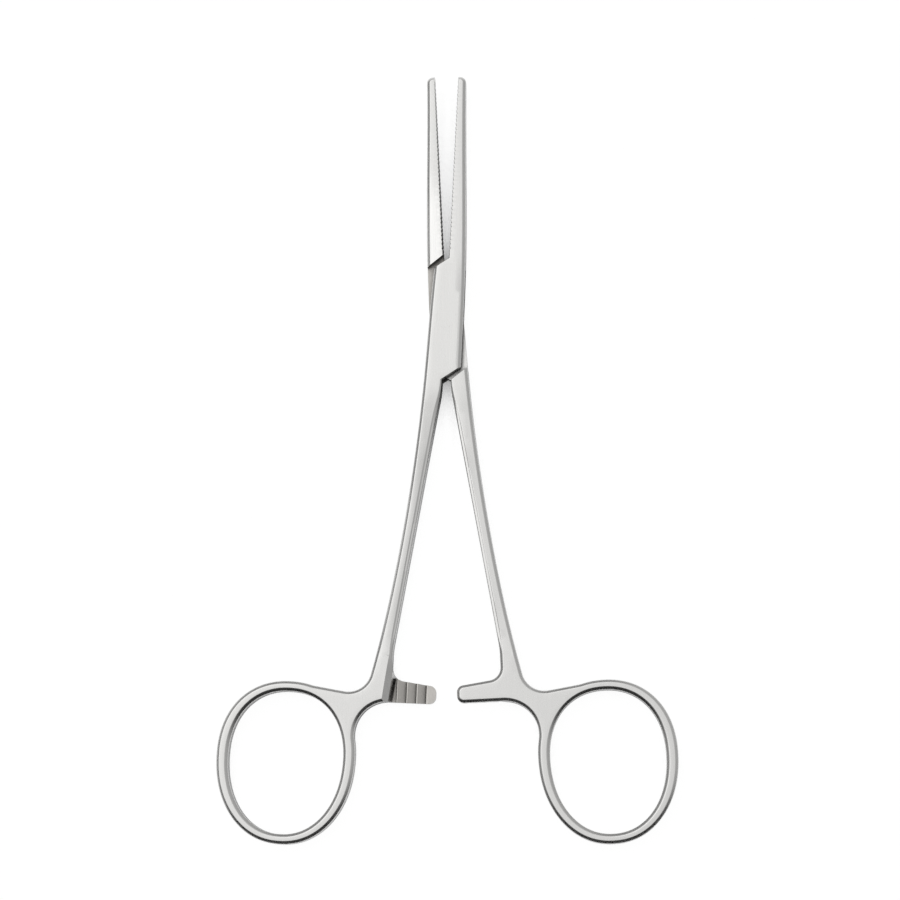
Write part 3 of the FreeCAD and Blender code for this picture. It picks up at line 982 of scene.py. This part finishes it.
def start_half(context, name, tongue, lit_band=None):
    """A half with its two steels and its serrations, not cut to its side of the lock yet."""
    sizes, finish = gather_sizes(context), context.scene.forceps_finish
    satin = satin_steel("satin_steel_" + name, finish.steel, finish.roughness)
    milled = milled_steel("milled_steel_" + name, finish.milled_steel,
                          finish.milled_roughness, lit_band=lit_band)
    piece = steel_body("forceps_" + name, sizes, tongue)
    piece.data.materials.append(satin)
    piece.data.materials.append(milled)
    mill_jaw_face(piece, sizes)
    carve(piece, serration_cutter(sizes))
    return piece, sizes, satin, milled


def end_half(context, name, piece, sizes, satin, tongue):
    """Cuts a half's ratchet and puts the half where it lies."""
    cut_teeth = ratchet_steel("ratchet_steel_" + name, context.scene.forceps_finish)
    for tool in ratchet_cutters(sizes, cut_teeth, satin, flip=tongue):
        carve(piece, tool)
    finish_piece(piece, sizes, mirrored=tongue)


class FORCEPS_OT_box_half(Operator):
    """Build the half with the box: right jaw, cheeks, left shank, arm and ring"""
    bl_idname = "forceps.box_half"
    bl_label = "Box half"

    def execute(self, context):
        piece, sizes, satin, milled = start_half(context, "box_half", tongue=False)
        lock = sizes.lock
        middle = lock.thickness / 2.0
        slot = lock.tongue_thickness / 2.0 + lock.tongue_side_gap
        carve(piece, lock_band("slot", sizes, lock.shoulder_reach + lock.slot_end_gap,
                               middle - slot, middle + slot, milled))
        shank_radius, head_radius = lock.pin_diameter / 2.0, lock.pin_head_diameter / 2.0
        past = 0.2
        mouth = head_radius + (head_radius - shank_radius) / lock.pin_head_depth * past
        profile = [(mouth, -past), (shank_radius, lock.pin_head_depth),
                   (shank_radius, lock.thickness - lock.pin_head_depth),
                   (mouth, lock.thickness + past)]
        carve(piece, lathe("pin_seat", profile, TURNED_STEPS, Matrix.Identity(4), milled))
        end_half(context, "box_half", piece, sizes, satin, tongue=False)
        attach(piece, "box_side")
        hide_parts("box_half")
        return {"FINISHED"}


class FORCEPS_OT_tongue_half(Operator):
    """Build the half with the tongue: left jaw, tongue, right shank, arm and ring"""
    bl_idname = "forceps.tongue_half"
    bl_label = "Tongue half"

    def execute(self, context):
        # The Y span below which the tongue's milled steel is painted as lit.
        piece, sizes, satin, milled = start_half(context, "tongue_half", tongue=True,
                                                 lit_band=(-0.003, 0.001))
        lock = sizes.lock
        middle, tongue = lock.thickness / 2.0, lock.tongue_thickness / 2.0
        reach = lock.shoulder_reach + lock.shoulder_gap
        carve(piece, lock_band("under", sizes, reach, -CUT_PAST, middle - tongue, milled))
        carve(piece, lock_band("over", sizes, reach, middle + tongue,
                               lock.thickness + CUT_PAST, milled))
        radius = lock.pin_diameter / 2.0 + lock.pin_running_gap
        carve(piece, lathe("pin_bore", [(radius, 0.0), (radius, lock.thickness)],
                           TURNED_STEPS, Matrix.Identity(4), milled))
        end_half(context, "tongue_half", piece, sizes, satin, tongue=True)
        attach(piece, "tongue_side")
        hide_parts("tongue_half")
        return {"FINISHED"}


class FORCEPS_OT_pivot_pin(Operator):
    """Give the rivet the finish of the cheeks that it is worked flush into"""
    bl_idname = "forceps.pivot_pin"
    bl_label = "Pivot pin"

    def execute(self, context):
        finish = context.scene.forceps_finish
        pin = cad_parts["pivot_pin"]
        pin.data.materials.clear()
        pin.data.materials.append(satin_steel("satin_steel_pin", finish.steel,
                                              finish.roughness))
        return {"FINISHED"}


class FORCEPS_OT_stage(Operator):
    """Lay the floor, light the studio and place the camera"""
    bl_idname = "forceps.stage"
    bl_label = "Stage"

    def execute(self, context):
        studio = context.scene.forceps_studio
        lay_floor(context, studio)
        light_studio(context)
        place_camera(context, studio)
        context.scene.view_settings.view_transform = "Standard"
        return {"FINISHED"}


def lay_floor(context, studio):
    """Lays the floor just below the box's underside."""
    mesh = bpy.data.meshes.new("floor")
    size, low = 8.0, -0.00002
    mesh.from_pydata([(-size, -size, low), (size, -size, low), (size, size, low),
                      (-size, size, low)], [], [(0, 1, 2, 3)])
    mesh.materials.append(floor_material(studio.floor_colour))
    floor = bpy.data.objects.new("floor", mesh)
    context.scene.collection.objects.link(floor)


def sky_levels(tree, height, stops):
    """Brightness by how high a direction points."""
    made = node(tree, "ShaderNodeValToRGB", {0: height})
    elements = made.color_ramp.elements
    for element, (position, level) in zip((elements[0], elements[1]), (stops[0], stops[-1])):
        element.position, element.color = position, [level] * 3 + [1.0]
    for position, level in stops[1:-1]:
        elements.new(position).color = [level] * 3 + [1.0]
    return made.outputs["Color"]


def light_studio(context):
    """A soft tent: bright overhead and towards the jaws, dim to the right and near the floor."""
    world = bpy.data.worlds.new("studio")
    context.scene.world = world
    world.use_nodes = True
    tree = world.node_tree
    tree.nodes.clear()
    way = node(tree, "ShaderNodeTexCoord").outputs["Generated"]
    parts = node(tree, "ShaderNodeSeparateXYZ", {0: way}).outputs
    jaws_side = sky_levels(tree, parts["Z"], [
        (0.0, 0.22), (0.2, 0.23), (0.33, 0.28), (0.45, 0.66), (0.6, 1.14), (0.77, 1.2),
        (0.9, 1.05), (0.97, 0.97), (1.0, 0.95)])
    right_side = sky_levels(tree, parts["Z"], [(0.0, 0.38), (0.5, 0.49), (1.0, 0.54)])
    to_right = spread(tree, parts["X"], -0.1, 0.46, 0.0, 1.0)
    level = node(tree, "ShaderNodeMix", {0: to_right, 2: jaws_side, 3: right_side}).outputs[0]
    to_rings = spread(tree, parts["Y"], -0.55, -0.03, 0.06, 1.0,
                      interpolation_type="SMOOTHSTEP")
    level = node(tree, "ShaderNodeMath", {0: level, 1: to_rings},
                 operation="MULTIPLY").outputs[0]
    lamp = Vector((-0.27, 0.23, 0.93)).normalized()
    near_lamp = node(tree, "ShaderNodeVectorMath", {0: way, 1: lamp}, operation="DOT_PRODUCT")
    glow = spread(tree, near_lamp.outputs["Value"], 0.972, 0.996, 0.0, 0.43,
                  interpolation_type="SMOOTHSTEP")
    level = node(tree, "ShaderNodeMath", {0: level, 1: glow}, operation="ADD").outputs[0]
    sky = node(tree, "ShaderNodeBackground", {"Strength": level,
                                              "Color": (1.0, 0.998, 0.99, 1.0)})
    node(tree, "ShaderNodeOutputWorld", {"Surface": sky.outputs[0]})


def place_camera(context, studio):
    """Places the camera over the middle, leaning towards the rings and to the right."""
    back = Vector((math.tan(studio.tilt_east), -math.tan(studio.tilt_south), 1.0)).normalized()
    up = Vector((0.0, 1.0, 0.0))
    up = (up - back * up.dot(back)).normalized()
    side = up.cross(back)
    middle = Vector((studio.view_x, studio.view_y, (PIN_LOW.z + PIN_HIGH.z) / 2.0))
    data = bpy.data.cameras.new("camera")
    data.angle = 2.0 * math.atan(studio.view_width / 2.0 / studio.camera_distance)
    data.clip_start, data.clip_end = 0.01, 50.0
    camera = bpy.data.objects.new("camera", data)
    turn = Matrix((side, up, back)).transposed().to_4x4()
    camera.matrix_world = Matrix.Translation(middle + back * studio.camera_distance) @ turn
    context.scene.collection.objects.link(camera)
    context.scene.camera = camera


class FORCEPS_PT_panel(Panel):
    """Lists the pieces in the order that they are built"""
    bl_idname = "FORCEPS_PT_panel"
    bl_label = "Ring-handled forceps"
    bl_space_type = "VIEW_3D"
    bl_region_type = "UI"
    bl_category = "Forceps"

    def draw(self, context):
        for name, group in PROPERTY_GROUPS:
            box = self.layout.box()
            box.label(text=group.__doc__)
            for key in group.__annotations__:
                box.prop(getattr(context.scene, name), key)
        for piece in PIECES:
            self.layout.operator(piece.bl_idname)


PROPERTY_GROUPS = (
    ("forceps_lock", ForcepsLockSizes),
    ("forceps_jaws", ForcepsJawSizes),
    ("forceps_shanks", ForcepsShankSizes),
    ("forceps_rings", ForcepsRingSizes),
    ("forceps_ratchet", ForcepsRatchetSizes),
    ("forceps_finish", ForcepsFinish),
    ("forceps_studio", ForcepsStudio),
)
PIECES = (FORCEPS_OT_box_half, FORCEPS_OT_tongue_half, FORCEPS_OT_pivot_pin, FORCEPS_OT_stage)


def register():
    for name, group in PROPERTY_GROUPS:
        bpy.utils.register_class(group)
        setattr(bpy.types.Scene, name, PointerProperty(type=group))
    for shown in (*PIECES, FORCEPS_PT_panel):
        bpy.utils.register_class(shown)


def unregister():
    for shown in reversed((*PIECES, FORCEPS_PT_panel)):
        bpy.utils.unregister_class(shown)
    for name, group in reversed(PROPERTY_GROUPS):
        delattr(bpy.types.Scene, name)
        bpy.utils.unregister_class(group)


def main():
    register()
    bpy.ops.forceps.box_half()
    bpy.ops.forceps.tongue_half()
    bpy.ops.forceps.pivot_pin()
    bpy.ops.forceps.stage()


if __name__ == "__main__":
    main()
